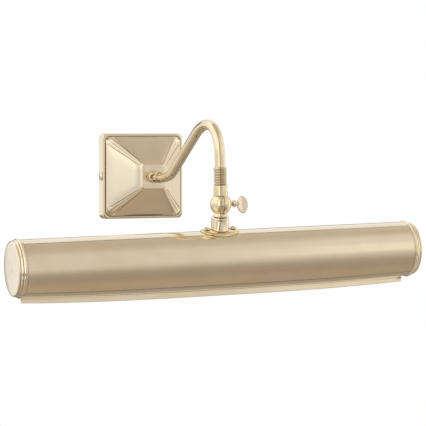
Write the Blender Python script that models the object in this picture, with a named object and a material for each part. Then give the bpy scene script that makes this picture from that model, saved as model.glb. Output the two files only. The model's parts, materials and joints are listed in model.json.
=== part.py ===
"""Wall-mounted brass picture light: a square canopy, a swan-neck arm, a ball knuckle and a tubular shade.

Frame: the origin is the centre of the wall face, the wall is the plane Y = 0, the light stands out
towards -Y, +X is its right-hand side and +Z is up.
"""
import math

import bmesh
import bpy
from mathutils import Matrix, Vector

MM = 0.001
GAP = 0.3                     # clearance between touching pieces, mm

# Driving dimensions, in millimetres and degrees
SHADE_LENGTH = 508.0          # over the faces of the two end caps
SHADE_RADIUS = 33.0           # outside of the rolled tube
SHADE_WALL = 1.0
OPENING_FRONT = -92.0         # front edge of the light opening, angle from +Y towards +Z
OPENING_BACK = 12.0           # rear edge of the light opening
BOW = 4.6                     # how far the free front edge springs down at mid-length
LIP_DROP = 7.4                # of the turned-down lip below the free edge
LIP_LEAN = 2.6                # how far the foot of the lip stands forward of the free edge
LIP_CLEAR = 0.5               # from the end of the lip to the cap
CAP_DEPTH = 10.7
CAP_RADIUS = 34.4
PLATE_SIZE = 110.0
PLATE_CORNER = 6.0
PLATE_WALL = 1.2
SKIRT_DEPTH = 15.5
PLATE_RIM = 4.0
PLATE_DEPTH = 57.0
FLAT_SIZE = 30.0
ARM_RADIUS = 6.0
ARM_WALL = 1.0
ARM_SLOPE = 30.2              # rise of the straight stretch above the horizontal
ARM_REACH = 286.0             # wall to the centre of the knuckle
ARM_TOP = 67.1                # highest point of the centreline above the root
ROOT_BEND = 77.0
CREST_BEND = 82.0
DROP_BEND = 35.0
KNUCKLE_Z = -26.3
BALL_RADIUS = 12.65
KNUCKLE_TO_TUBE = 65.3        # knuckle centre to the axis of the shade
ARM_ROLL = 1.35               # the arm as set: right-hand end of the shade this much high
SHADE_TILT = 9.5              # the shade as set: underside turned this much towards the wall
THUMB_TURN = -12.0            # the thumb screw as set: top of its paddle turned towards the wall
PADDLE_DROP = 1.5             # the paddle sits this much low on its shank
LAMP_RADIUS = 12.5
LAMP_LENGTH = 115.0
ROUND = 40                    # facets of the shade and the pieces that hug it


# ---------------------------------------------------------------- scene and materials

def clear_scene():
    for obj in list(bpy.data.objects):
        bpy.data.objects.remove(obj, do_unlink=True)


def material(name, colour, metallic, roughness):
    mat = bpy.data.materials.new(name)
    mat.use_nodes = True
    shader = mat.node_tree.nodes["Principled BSDF"]
    shader.inputs["Base Color"].default_value = (*colour, 1.0)
    shader.inputs["Metallic"].default_value = metallic
    shader.inputs["Roughness"].default_value = roughness
    return mat


def empty(name, location, rotation, parent=None):
    obj = bpy.data.objects.new(name, None)
    bpy.context.scene.collection.objects.link(obj)
    obj.location = [v * MM for v in location]
    obj.rotation_euler = [math.radians(a) for a in rotation]
    obj.parent = parent
    return obj


def finish_mesh(name, bm):
    """Closes a bmesh into an object in metres, with outward faces and crisp edges."""
    bmesh.ops.remove_doubles(bm, verts=bm.verts, dist=1e-4)
    bmesh.ops.recalc_face_normals(bm, faces=bm.faces)
    bmesh.ops.scale(bm, vec=(MM, MM, MM), verts=bm.verts)
    mesh = bpy.data.meshes.new(name)
    bm.to_mesh(mesh)
    bm.free()
    mesh.shade_smooth()
    mesh.set_sharp_from_angle(angle=math.radians(35))
    obj = bpy.data.objects.new(name, mesh)
    bpy.context.scene.collection.objects.link(obj)
    return obj


def place(obj, parent=None, location=(0, 0, 0), rotation=(0, 0, 0), mat=None):
    obj.parent = parent
    obj.location = [v * MM for v in location]
    obj.rotation_euler = [math.radians(a) for a in rotation]
    if mat is not None:
        obj.data.materials.append(mat)
    return obj


def boolean(obj, cutter, operation="DIFFERENCE"):
    cutter.hide_render = True
    cutter.display_type = "WIRE"
    mod = obj.modifiers.new(operation.lower(), "BOOLEAN")
    mod.operation = operation
    mod.object = cutter
    return obj


# ---------------------------------------------------------------- shapes, all in millimetres

def arc(cx, cy, radius, start, end, steps):
    """Points on an arc, angles in degrees, both ends included."""
    points = []
    for i in range(steps + 1):
        a = math.radians(start + (end - start) * i / steps)
        points.append((cx + radius * math.cos(a), cy + radius * math.sin(a)))
    return points


def turned(name, profile, segments=24, closed=False):
    """Turns a profile of (radius, height) points about Z; a closed profile makes a ring."""
    bm = bmesh.new()
    verts = [bm.verts.new((r, 0.0, h)) for r, h in profile]
    edges = [bm.edges.new(pair) for pair in zip(verts, verts[1:])]
    if closed:
        edges.append(bm.edges.new((verts[-1], verts[0])))
    bmesh.ops.spin(bm, geom=verts + edges, cent=(0, 0, 0), axis=(0, 0, 1), angle=math.tau,
                   steps=segments, use_merge=True)
    return finish_mesh(name, bm)


def cylinder(name, radius, start, end, segments=24):
    return turned(name, [(0, start), (radius, start), (radius, end), (0, end)], segments)


def prism(name, outline, start, end):
    """Extrudes an outline in XY from Z = start to Z = end."""
    bm = bmesh.new()
    face = bm.faces.new([bm.verts.new((x, y, start)) for x, y in outline])
    moved = bmesh.ops.extrude_face_region(bm, geom=[face])["geom"]
    bmesh.ops.translate(bm, vec=(0, 0, end - start),
                        verts=[v for v in moved if isinstance(v, bmesh.types.BMVert)])
    return finish_mesh(name, bm)


def box(name, low, high):
    outline = [(low[0], low[1]), (high[0], low[1]), (high[0], high[1]), (low[0], high[1])]
    return prism(name, outline, low[2], high[2])


def ellipse(half_x, half_y, steps=32):
    return [(half_x * math.cos(math.tau * i / steps), half_y * math.sin(math.tau * i / steps))
            for i in range(steps)]


def hexagon(across_flats):
    corner = across_flats / math.sqrt(3)
    return [(corner * math.cos(math.tau * i / 6), corner * math.sin(math.tau * i / 6)) for i in range(6)]


def slot_outline(length, width, x=0.0, y=0.0):
    half = (length - width) / 2
    right = arc(x + half, y, width / 2, -90, 90, 6)
    left = arc(x - half, y, width / 2, 90, 270, 6)
    return right + left


def nut(name, across_flats, bore, height, parent, location, rotation, mat):
    obj = prism(name, hexagon(across_flats), 0, height)
    hole = place(cylinder(name + "_bore", bore, -1, height + 1, 16), obj)
    boolean(obj, hole)
    return place(obj, parent, location, rotation, mat)


def screw(name, head, height, shank, length, parent, location, rotation, mat, slot=0):
    """A round-head screw: head towards +Z from Z = 0, shank down -Z, slotted if slot is a width."""
    dome = [(head * math.cos(math.radians(a)), height * math.sin(math.radians(a))) for a in (0, 30, 60)]
    profile = [(0, -length), (shank, -length), (shank, 0)] + dome + [(0, height)]
    obj = turned(name, profile, 12)
    if slot == 0:
        return place(obj, parent, location, rotation, mat)
    groove = place(box(name + "_slot", (-2 * head, -slot / 2, height * 0.55),
                       (2 * head, slot / 2, height * 2)), obj)
    boolean(obj, groove)
    return place(obj, parent, location, rotation, mat)


def smooth_route(points, per_span):
    """A Catmull-Rom curve through the given points."""
    pts = [Vector(p) for p in points]
    pts = [2 * pts[0] - pts[1]] + pts + [2 * pts[-1] - pts[-2]]
    route = []
    for a, b, c, d in zip(pts, pts[1:], pts[2:], pts[3:]):
        for i in range(per_span):
            t = i / per_span
            route.append(0.5 * (2 * b + (c - a) * t + (2 * a - 5 * b + 4 * c - d) * t ** 2
                                + (3 * b - a - 3 * c + d) * t ** 3))
    return route + [pts[-2]]


def swept(name, route, radius, resolution, filled=True):
    """A round rod or tube skin along a route."""
    curve = bpy.data.curves.new(name, "CURVE")
    curve.dimensions = "3D"
    curve.bevel_depth = radius * MM
    curve.bevel_resolution = resolution
    curve.use_fill_caps = filled
    spline = curve.splines.new("POLY")
    spline.points.add(len(route) - 1)
    for point, co in zip(spline.points, route):
        point.co = (co[0] * MM, co[1] * MM, co[2] * MM, 1.0)
    spline.use_smooth = True
    obj = bpy.data.objects.new(name, curve)
    bpy.context.scene.collection.objects.link(obj)
    return obj


# ---------------------------------------------------------------- wall bracket and canopy

BRACKET_HALF = PLATE_SIZE / 2 - PLATE_WALL - 0.6
BRACKET_THICK = 1.5
SIDE_SCREW_Y = -10.0
BLOCK_X = -14.0
EARTH_X = 16.0


def wall_bracket(mat):
    """A strap with bent ears, two fixing slots and tapped holes."""
    outer, inner = BRACKET_HALF, BRACKET_HALF - BRACKET_THICK
    ear = -13.5
    outline = [(-outer, 0), (-outer, ear), (-inner, ear), (-inner, -BRACKET_THICK),
               (inner, -BRACKET_THICK), (inner, ear), (outer, ear), (outer, 0)]
    strap = prism("wall_bracket", outline, -10, 10)
    for x in (-36, 36):
        cutter = prism(f"bracket_slot_{x}", slot_outline(12, 5, x), -5, 5)
        boolean(strap, place(cutter, strap, rotation=(90, 0, 0)))
    for x, radius in ((BLOCK_X - 4.5, 1.8), (EARTH_X, 2.1)):
        cutter = cylinder(f"bracket_hole_{x:.0f}", radius, -5, 5, 16)
        boolean(strap, place(cutter, strap, location=(x, 0, 0), rotation=(90, 0, 0)))
    for side in (-1, 1):
        cutter = cylinder(f"bracket_ear_hole_{side}", 2.3, -5, 5, 12)
        boolean(strap, place(cutter, strap, location=(side * outer, SIDE_SCREW_Y, 0), rotation=(0, 90, 0)))
    return place(strap, mat=mat)


def square_loop(half, corner, bulge, depth, steps=5):
    """A square outline at Y = -depth; bulge 1 rounds its corners, 0 cuts them straight."""
    points = []
    for quarter in range(4):
        turn = Matrix.Rotation(quarter * math.pi / 2, 2)
        for i in range(steps + 1):
            t = i / steps
            a = t * math.pi / 2
            straight = Vector((half - corner * t, half - corner * (1 - t)))
            curved = Vector((half - corner + corner * math.cos(a), half - corner + corner * math.sin(a)))
            x, z = turn @ straight.lerp(curved, bulge)
            points.append((x, -depth, z))
    return points


def backplate(mat):
    """The pressed canopy: skirt, rolled rim, and a cut-off pyramid with softened ridges."""
    half = PLATE_SIZE / 2
    foot = half - PLATE_RIM
    flat = FLAT_SIZE / 2
    loops = [square_loop(half, PLATE_CORNER, 1.0, 0),
             square_loop(half, PLATE_CORNER, 1.0, SKIRT_DEPTH - 1.6),
             square_loop(half - 0.5, PLATE_CORNER, 1.0, SKIRT_DEPTH - 0.5),
             square_loop(half - 1.6, PLATE_CORNER, 1.0, SKIRT_DEPTH),
             square_loop(foot + 0.6, PLATE_CORNER + 1, 0.9, SKIRT_DEPTH),
             square_loop(foot, 9, 0.5, SKIRT_DEPTH + 1.6),
             square_loop(flat + 1.2, 3, 0.4, PLATE_DEPTH - 1.2),
             square_loop(flat, 3, 0.4, PLATE_DEPTH)]
    bm = bmesh.new()
    rings = [[bm.verts.new(p) for p in loop] for loop in loops]
    for lower, upper in zip(rings, rings[1:]):
        count = len(lower)
        for i in range(count):
            j = (i + 1) % count
            bm.faces.new((lower[i], lower[j], upper[j], upper[i]))
    bm.faces.new(rings[-1])
    plate = finish_mesh("backplate", bm)
    shell = plate.modifiers.new("wall", "SOLIDIFY")
    shell.thickness = PLATE_WALL * MM
    shell.offset = -1
    shell.use_even_offset = True
    boolean(plate, place(cylinder("root_hole", 5.3, -10, 10), plate, (0, -PLATE_DEPTH, 0), (90, 0, 0)))
    for side in (-1, 1):
        hole = cylinder(f"side_hole_{side}", 2.3, -5, 5, 12)
        boolean(plate, place(hole, plate, (side * half, SIDE_SCREW_Y, 0), (0, 90, 0)))
    return place(plate, mat=mat)


def canopy_fittings(brass, steel, nylon):
    half = PLATE_SIZE / 2
    screw("side_screw_left", 5.4, 2.7, 2.0, 7.0, None, (-half - GAP, SIDE_SCREW_Y, 0), (0, -90, 0), brass,
          slot=1.2)
    grub = cylinder("side_screw_right", 2.0, -7.0, 0.0, 16)
    boolean(grub, place(box("grub_slot", (-5, -0.4, -1.2), (5, 0.4, 5)), grub))
    place(grub, None, (half, SIDE_SCREW_Y, 0), (0, 90, 0), brass)
    screw("earth_screw", 3.6, 2.4, 1.7, BRACKET_THICK, None, (EARTH_X, -BRACKET_THICK - GAP, 0), (90, 0, 0),
          brass)
    block_back = -BRACKET_THICK - GAP
    block = box("terminal_block", (BLOCK_X - 13, block_back - 12.5, -7), (BLOCK_X + 13, block_back, 7))
    for i, x in enumerate((-9, 0, 9)):
        well = cylinder(f"terminal_well_{i}", 2.3, -1, 6, 12)
        boolean(block, place(well, block, (BLOCK_X + x, block_back - 12.5 + 5, 0), (90, 0, 0)))
        screw(f"terminal_screw_{i + 1}", 1.9, 1.2, 1.5, 2.0, None,
              (BLOCK_X + x, block_back - 12.5 + 3.6, 0), (90, 0, 0), brass)
    middle = cylinder("terminal_fixing_hole", 1.8, -20, 20, 12)
    boolean(block, place(middle, block, (BLOCK_X - 4.5, block_back, 0), (90, 0, 0)))
    place(block, mat=nylon)
    screw("terminal_fixing_screw", 2.6, 1.6, 1.4, 13.5, None,
          (BLOCK_X - 4.5, block_back - 12.5 - GAP, 0), (90, 0, 0), steel)


# ---------------------------------------------------------------- arm

SOCKET_RADIUS = ARM_RADIUS + GAP
ROOT_FRONT = -(PLATE_DEPTH + 24)
TUBE_START = -(PLATE_DEPTH + 12)
SPIGOT_END = -(PLATE_DEPTH - 11)


def arm_route(start, end_above_knuckle, arc_steps):
    """Centreline in the plane X = 0: out, up the slope, over the crest, and down to the knuckle."""
    slope = math.radians(ARM_SLOPE)
    crest_y = -ARM_REACH + DROP_BEND
    top_y = crest_y + CREST_BEND * math.sin(slope)
    top_z = ARM_TOP - CREST_BEND * (1 - math.cos(slope))
    foot_y = top_y + top_z / math.tan(slope)
    bend_y = foot_y + ROOT_BEND * math.tan(slope / 2)
    route = [(start, 0)]
    route += arc(bend_y, ROOT_BEND, ROOT_BEND, 270, 270 - ARM_SLOPE, arc_steps)
    route += arc(crest_y, ARM_TOP - CREST_BEND, CREST_BEND, 90 - ARM_SLOPE, 90, arc_steps)
    route += arc(crest_y, ARM_TOP - DROP_BEND, DROP_BEND, 90, 180, 2 * arc_steps)[1:]
    route.append((-ARM_REACH, KNUCKLE_Z + end_above_knuckle))
    return [(0.0, y, z) for y, z in route]


def arm_pieces(arm, brass, dark, flex):
    spigot = SPIGOT_END - (-PLATE_DEPTH - GAP)
    depth = -PLATE_DEPTH - GAP - ROOT_FRONT
    collar = [(3.2, spigot), (3.2, -10), (SOCKET_RADIUS, -11), (SOCKET_RADIUS, -depth),
              (6.8, -depth), (7.2, 0.5 - depth), (7.2, -4.0), (8.0, -3.6), (8.0, -0.5), (7.5, 0), (5.0, 0),
              (5.0, spigot)]
    place(turned("arm_root_collar", collar, 24, True), arm, (0, -PLATE_DEPTH - GAP, 0), (-90, 0, 0), brass)
    inside = -PLATE_DEPTH + PLATE_WALL + GAP
    washer = [(5.3, 0), (9.5, 0), (9.5, 1), (5.3, 1)]
    place(turned("arm_washer", washer, 20, True), arm, (0, inside, 0), (-90, 0, 0), dark)
    nut("arm_locknut", 17, 5.3, 3.5, arm, (0, inside + 1 + GAP, 0), (-90, 0, 0), dark)

    tube = swept("arm_tube", arm_route(TUBE_START, 16.2, 5), ARM_RADIUS, 4, filled=False)
    wall = tube.modifiers.new("wall", "SOLIDIFY")
    wall.thickness = ARM_WALL * MM
    wall.offset = -1
    place(tube, arm, mat=brass)
    place(swept("arm_lead", arm_route(SPIGOT_END + 0.5, 17, 4), 2.4, 2), arm, mat=flex)


def ribbed_collar(knuckle, mat):
    """Seven turned ribs above the ferrule."""
    low, ribs, pitch = 22.5, 7, 3.0
    profile = [(SOCKET_RADIUS, low)]
    for i in range(ribs):
        base = low + i * pitch
        profile += [(6.9, base), (7.85, base + pitch / 2)]
    profile += [(6.9, low + ribs * pitch), (SOCKET_RADIUS, low + ribs * pitch)]
    return place(turned("ribbed_collar", profile, 18, True), knuckle, mat=mat)


def half_ball(name, radius, face, side, parent):
    """The part of a ball beyond X = face on one side, as a turned solid."""
    start = math.degrees(math.asin(face / radius))
    profile = [(0, face)] + [(radius * math.cos(math.radians(a)), radius * math.sin(math.radians(a)))
                             for a in (start + (90 - start) * i / 5 for i in range(5))] + [(0, radius)]
    return place(turned(name, profile, 20), parent, rotation=(0, 90 * side, 0))


def knuckle_half(name, stem, side, mat, parent):
    """A turned stem joined to one half of the ball, hollowed for the other half and bored for the screw."""
    face = 0.55
    piece = turned(name, stem, 20, True)
    boolean(piece, half_ball(name + "_room", BALL_RADIUS + 0.5, -face, -side, piece))
    boolean(piece, half_ball(name + "_ball", BALL_RADIUS, face, side, piece), "UNION")
    bore = cylinder(name + "_bore", 2.3, -9 if side < 0 else -20, 20 if side > 0 else 9, 16)
    boolean(piece, place(bore, piece, rotation=(0, 90, 0)))
    return place(piece, parent, mat=mat)


def knuckle_pieces(knuckle, shade, brass, fibre):
    ferrule = [(4.0, 9.0), (8.25, 9.0), (8.25, 21.8), (7.9, 22.2), (SOCKET_RADIUS, 22.2),
               (SOCKET_RADIUS, 15.9), (4.0, 15.9)]
    knuckle_half("upper_knuckle", ferrule, 1, brass, knuckle)
    neck = [(3.3, -15.0), (3.3, -43.0), (5.0, -43.0), (5.0, -15.2), (8.1, -15.0), (8.5, -14.6), (8.5, -8.8),
            (3.3, -8.8)]
    knuckle_half("lower_knuckle", neck, -1, brass, shade)
    washer = [(2.5, -0.25), (8.0, -0.25), (8.0, 0.25), (2.5, 0.25)]
    place(turned("friction_washer", washer, 20, True), shade, rotation=(0, 90, 0), mat=fibre)


def thumb_screw(parent, mat):
    """A shank with a bead and an oval thumb paddle, along +X."""
    shank, bead_radius, bead_half, bead_middle, paddle_middle = 2.0, 4.4, 2.9, 16.9, 27.0
    bead = [(bead_radius * math.cos(math.radians(a)), bead_middle + bead_half * math.sin(math.radians(a)))
            for a in (-60, -30, 0, 30, 60)]
    profile = [(0, -7.5), (shank, -7.5), (shank, 14.0)] + bead + [(1.8, 20.0), (1.8, 24.0), (0, 24.0)]
    piece = turned("thumb_screw", profile, 16)
    half_wide, half_high, half_thick = 7.0, 10.5, 1.5
    edge = [(half_wide * math.sin(math.radians(a)), half_thick * math.cos(math.radians(a)))
            for a in range(30, 151, 30)]
    paddle = turned("thumb_paddle", [(0, half_thick)] + edge + [(0, -half_thick)], 20)
    for vert in paddle.data.vertices:
        vert.co.x *= half_high / half_wide
    boolean(piece, place(paddle, piece, (PADDLE_DROP, 0, paddle_middle), (90, 0, 0)), "UNION")
    return place(piece, parent, rotation=(0, 90, 0), mat=mat)


# ---------------------------------------------------------------- shade

def tube_profile(radius):
    """The C-shaped section in (y, z), from the rear edge of the opening over the top to the front edge."""
    span = 360 + OPENING_FRONT - OPENING_BACK
    steps = round(span / (360 / ROUND))
    return arc(0, 0, radius, OPENING_BACK, OPENING_BACK + span, steps)


def bow_at(x, y, z, half):
    """Downward spring of the front of the tube: none at the top and the ends, full at the free edge."""
    around = (math.degrees(math.atan2(z, y)) + 360) % 360
    share = min(max((around - 180) / (360 + OPENING_FRONT - 180), 0), 1)
    return BOW * share ** 1.5 * (1 - abs(x / half) ** 3)


def shade_tube(parent, mat):
    """The rolled tube with its turned-down lip, as one bent sheet."""
    half = SHADE_LENGTH / 2 - CAP_DEPTH - GAP
    columns = 10
    profile = tube_profile(SHADE_RADIUS)
    edge = profile[-1]
    bm = bmesh.new()
    rows = []
    for i in range(columns + 1):
        x = -half + 2 * half * i / columns
        row = [bm.verts.new((x, y, z - bow_at(x, y, z, half))) for y, z in profile]
        drop = BOW * (1 - abs(x / half) ** 3)
        at_end = i in (0, columns)
        lip_x = x - math.copysign(LIP_CLEAR, x) if at_end else x
        reach = LIP_DROP - (1.2 if at_end else 0)
        row.append(bm.verts.new((lip_x, edge[0] + 0.3, edge[1] - 1.0 - drop)))
        row.append(bm.verts.new((lip_x, edge[0] - LIP_LEAN * reach / LIP_DROP, edge[1] - reach - drop)))
        rows.append(row)
    for left, right in zip(rows, rows[1:]):
        for j in range(len(left) - 1):
            bm.faces.new((left[j], left[j + 1], right[j + 1], right[j]))
    tube = finish_mesh("shade_tube", bm)
    top = max(tube.data.polygons, key=lambda face: face.center.z)
    if top.normal.z < 0:
        tube.data.flip_normals()
    wall = tube.modifiers.new("wall", "SOLIDIFY")
    wall.thickness = SHADE_WALL * MM
    wall.offset = -1
    boolean(tube, place(cylinder("tube_stud_hole", 5.4, 20, 45), tube))
    for side in (-1, 1):
        boolean(tube, place(cylinder(f"tube_screw_hole_{side}", 1.9, 20, 45, 12), tube, (side * 16.5, 0, 0)))
    return place(tube, parent, mat=mat)


def end_cap(name, side, parent, mat):
    """A turned cap: flat face, stepped beads, and a spigot inside the tube."""
    spigot = SHADE_RADIUS - SHADE_WALL - GAP
    end = SHADE_LENGTH / 2
    depths = [(0, 0), (31.4, 0), (31.9, 0.8), (31.5, 2.4), (33.1, 3.5), (32.7, 5.0), (CAP_RADIUS, 6.9),
              (33.3, 9.0), (33.4, CAP_DEPTH), (spigot, CAP_DEPTH), (spigot, 18.0), (spigot - 1.2, 18.0),
              (spigot - 1.2, 1.4), (0, 1.4)]
    profile = [(r, end - d) for r, d in depths]
    return place(turned(name, profile, ROUND), parent, rotation=(0, 90 * side, 0), mat=mat)


SADDLE_INNER = SHADE_RADIUS + GAP
SADDLE_OUTER = SADDLE_INNER + 2.0


def saddle_pieces(tube_axis, brass, pale):
    plate = prism("saddle_flange", ellipse(24, 15.5), 20, 45)
    ring = [(SADDLE_INNER, -40), (SADDLE_OUTER, -40), (SADDLE_OUTER, 40), (SADDLE_INNER, 40)]
    shell = turned("saddle_shell", ring, ROUND, True)
    boolean(plate, place(shell, plate, rotation=(0, 90, 0)), "INTERSECT")
    boolean(plate, place(cylinder("saddle_stud_hole", 5.4, 15, 50), plate))
    for side in (-1, 1):
        boolean(plate, place(cylinder(f"saddle_hole_{side}", 1.9, 15, 50, 12), plate, (side * 16.5, 0, 0)))
    place(plate, tube_axis, mat=brass)
    for name, side in (("saddle_screw_left", -1), ("saddle_screw_right", 1)):
        screw(name, 4.1, 2.6, 1.5, 8.6, tube_axis, (side * 16.5, 0, SADDLE_OUTER + GAP), (0, 0, 35), brass,
              slot=1.0)

    top = KNUCKLE_TO_TUBE - 15.4
    sleeve = [(5.4, 33), (10.4, 33), (10.4, top - 0.5), (9.9, top), (5.4, top)]
    collar = turned("lower_collar", sleeve, 24, True)
    cut = cylinder("collar_cut", SADDLE_OUTER + GAP, -20, 20, ROUND)
    boolean(collar, place(cut, collar, rotation=(0, 90, 0)))
    place(collar, tube_axis, mat=pale)


LEG_X = 38.0
SHEET = 1.5
HOLDER_LENGTH = 40.0


def lamp_carrier(tube_axis, steel):
    """The channel that hangs from the stud and holds both lampholders."""
    top = 30.4
    outline = [(-LEG_X, -9), (-LEG_X, top), (LEG_X, top), (LEG_X, -9), (LEG_X - SHEET, -9),
               (LEG_X - SHEET, top - SHEET), (SHEET - LEG_X, top - SHEET), (SHEET - LEG_X, -9)]
    channel = prism("lampholder_bracket", outline, -8, 8)
    for side in (-1, 1):
        boolean(channel, place(cylinder(f"carrier_hole_{side}", 5.3, -5, 5), channel,
                               (side * LEG_X, 0, 0), (0, 90, 0)))
        boolean(channel, place(cylinder(f"carrier_screw_hole_{side}", 1.9, -5, 5, 12), channel,
                               (side * 16.5, top, 0), (90, 0, 0)))
    boolean(channel, place(cylinder("carrier_stud_hole", 5.4, -5, 5), channel, (0, top, 0), (90, 0, 0)))
    place(channel, tube_axis, rotation=(90, 0, 0), mat=steel)
    nut("stud_nut", 14, 5.3, 4.0, tube_axis, (0, 0, top - SHEET - GAP - 4.0), (0, 0, 0), steel)


def lamp_pieces(word, side, tube_axis, mats):
    """Holder, nut, lamp cap, glass and lead of one lamp, built along +Z and turned to +X or -X."""
    turn = (0, 90 * side, 0)
    back = LEG_X + GAP
    mouth = back + HOLDER_LENGTH
    holder = [(2.7, back - 5.5), (5.0, back - 5.5), (5.0, back), (9.0, back), (12.2, back + 6),
              (12.2, mouth - 8), (13.0, mouth - 7), (13.0, mouth), (7.7, mouth), (7.7, mouth - 25),
              (2.7, mouth - 25)]
    place(turned(f"lampholder_{word}", holder, 18, True), tube_axis, (0, 0, 0), turn, mats["bakelite"])
    nut(f"lampholder_nut_{word}", 14, 5.3, 2.6, tube_axis,
        (side * (LEG_X - SHEET - GAP - 2.6), 0, 0), turn, mats["steel"])
    contact = mouth - 24
    cap = [(0, contact), (2.5, contact), (6.9, contact + 3.5), (6.9, contact + 25), (0, contact + 25)]
    place(turned(f"lamp_cap_{word}", cap, 16), tube_axis, (0, 0, 0), turn, mats["nickel"])
    neck = contact + 25 + GAP
    tip = contact + LAMP_LENGTH
    dome = [(LAMP_RADIUS * math.cos(math.radians(a)), tip - LAMP_RADIUS * (1 - math.sin(math.radians(a))))
            for a in (0, 20, 40, 60, 76)]
    glass = [(0, neck), (6.9, neck), (8.4, neck + 3), (LAMP_RADIUS, neck + 9)] + dome + [(0, tip)]
    place(turned(f"lamp_glass_{word}", glass, 18), tube_axis, (0, 0, 0), turn, mats["glass"])
    start_z = KNUCKLE_TO_TUBE - 36
    stops = [(1.6, start_z), (1.6, 22), (7, 10), (18, 3), (28, 0.3), (33, 0), (back + 8, 0)]
    route = smooth_route([(side * x, 0, z) for x, z in stops], 3)
    place(swept(f"lamp_lead_{word}", route, 1.25, 2), tube_axis, mat=mats["flex"])


def canopy_lead(mat):
    start = Vector((BLOCK_X, -9.0, 7.0 + GAP))
    end = Vector((0, SPIGOT_END + 0.8, 0))
    route = smooth_route([start, start + Vector((0, -0.5, 7)), Vector((-10, -22, 17)), Vector((-2, -36, 7)),
                          end + Vector((0, 6, 0.6)), end], 4)
    place(swept("canopy_lead", route, 2.4, 2), mat=mat)


def build():
    clear_scene()
    brass = material("polished_brass", (0.83, 0.68, 0.42), 1.0, 0.12)
    pale = material("pale_brass", (0.86, 0.74, 0.52), 1.0, 0.12)
    steel = material("zinc_plated_steel", (0.62, 0.63, 0.64), 1.0, 0.35)
    nickel = material("nickel_plate", (0.75, 0.73, 0.68), 1.0, 0.25)
    nylon = material("white_nylon", (0.88, 0.88, 0.86), 0.0, 0.45)
    bakelite = material("black_phenolic", (0.03, 0.03, 0.03), 0.0, 0.35)
    fibre = material("grey_fibre", (0.25, 0.22, 0.2), 0.0, 0.8)
    glass = material("lamp_glass", (0.95, 0.95, 0.93), 0.0, 0.05)
    flex = material("lead_sheath", (0.85, 0.84, 0.8), 0.0, 0.5)

    arm = empty("arm_frame", (0, 0, 0), (0, -ARM_ROLL, 0))
    knuckle = empty("knuckle_frame", (0, -ARM_REACH, KNUCKLE_Z), (0, 0, 0), arm)
    thumb = empty("thumb_frame", (0, 0, 0), (THUMB_TURN, 0, 0), knuckle)
    shade = empty("shade_frame", (0, 0, 0), (SHADE_TILT, 0, 0), knuckle)
    tube_axis = empty("tube_axis", (0, 0, -KNUCKLE_TO_TUBE), (0, 0, 0), shade)

    wall_bracket(steel)
    backplate(brass)
    canopy_fittings(brass, steel, nylon)
    canopy_lead(flex)
    arm_pieces(arm, brass, steel, flex)
    ribbed_collar(knuckle, brass)
    knuckle_pieces(knuckle, shade, brass, fibre)
    thumb_screw(thumb, brass)
    saddle_pieces(tube_axis, brass, pale)
    shade_tube(tube_axis, pale)
    end_cap("end_cap_left", -1, tube_axis, pale)
    end_cap("end_cap_right", 1, tube_axis, pale)
    lamp_carrier(tube_axis, steel)
    mats = {"bakelite": bakelite, "steel": steel, "nickel": nickel, "glass": glass, "flex": flex}
    lamp_pieces("left", -1, tube_axis, mats)
    lamp_pieces("right", 1, tube_axis, mats)


build()
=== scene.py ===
"""Looks of a wall-mounted brass picture light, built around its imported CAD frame.

Shapes are drawn in millimetres, each in the frame of its own piece, and add() turns them into metres.
The wall is the plane Y = 0, the light stands out towards -Y, +X is its right-hand side and +Z is up.
"""

import json
import math

import bmesh
import bpy
from mathutils import Matrix, Vector


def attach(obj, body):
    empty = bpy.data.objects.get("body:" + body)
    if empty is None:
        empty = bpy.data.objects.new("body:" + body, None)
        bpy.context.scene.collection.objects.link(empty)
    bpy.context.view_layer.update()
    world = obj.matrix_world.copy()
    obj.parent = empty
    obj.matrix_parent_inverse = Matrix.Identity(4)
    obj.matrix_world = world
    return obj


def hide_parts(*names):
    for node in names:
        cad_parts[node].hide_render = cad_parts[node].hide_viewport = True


MM = 0.001
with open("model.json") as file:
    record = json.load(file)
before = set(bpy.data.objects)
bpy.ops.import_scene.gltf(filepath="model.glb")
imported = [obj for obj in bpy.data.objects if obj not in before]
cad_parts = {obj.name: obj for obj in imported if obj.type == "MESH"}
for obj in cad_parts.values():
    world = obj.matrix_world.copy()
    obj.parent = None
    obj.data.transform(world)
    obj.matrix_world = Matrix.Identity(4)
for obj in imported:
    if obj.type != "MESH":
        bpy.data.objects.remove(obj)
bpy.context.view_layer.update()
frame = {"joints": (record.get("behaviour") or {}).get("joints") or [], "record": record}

# ------------------------------------------------------- dimensions of the CAD, in millimetres and degrees

SHADE_LENGTH = 508.0
SHADE_RADIUS = 33.0
OPENING_FRONT = -92.0         # front edge of the light opening, angle from +Y towards +Z
OPENING_BACK = 12.0
BOW = 4.6                     # how far the free front edge springs down at mid-length
LIP_DROP = 7.4
LIP_LEAN = 2.6                # how far the foot of the lip stands forward of the free edge
LIP_CLEAR = 0.5
CAP_DEPTH = 10.7
PLATE_HALF = 55.0
PLATE_CORNER = 6.0
PLATE_WALL = 1.2
SKIRT_DEPTH = 15.5
PLATE_DEPTH = 57.0
FLAT_HALF = 15.0
ARM_RADIUS = 6.0
ARM_SLOPE = 30.2
ARM_TOP = 67.1
ROOT_BEND = 77.0
CREST_BEND = 82.0
DROP_BEND = 35.0
BALL_RADIUS = 12.65
KNUCKLE_TO_TUBE = 65.3
SHADE_TILT = 9.5
THUMB_TURN = -12.0
PADDLE_DROP = 1.5
LAMP_RADIUS = 12.5
LAMP_LENGTH = 115.0
GAP = 0.3
BRACKET_HALF = 53.2
BLOCK_X = -14.0
EARTH_X = 16.0
SIDE_SCREW_Y = -10.0
LEG_X = 38.0
SHEET = 1.5
HOLDER_LENGTH = 40.0
BLOCK_DEPTH = 12.5            # terminal block, from its back to its front
BARREL_PITCH = 9.0            # spacing of the terminal block's barrels
ROOT_LENGTH = 24.0
ROOT_SPIGOT = 11.0
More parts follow.
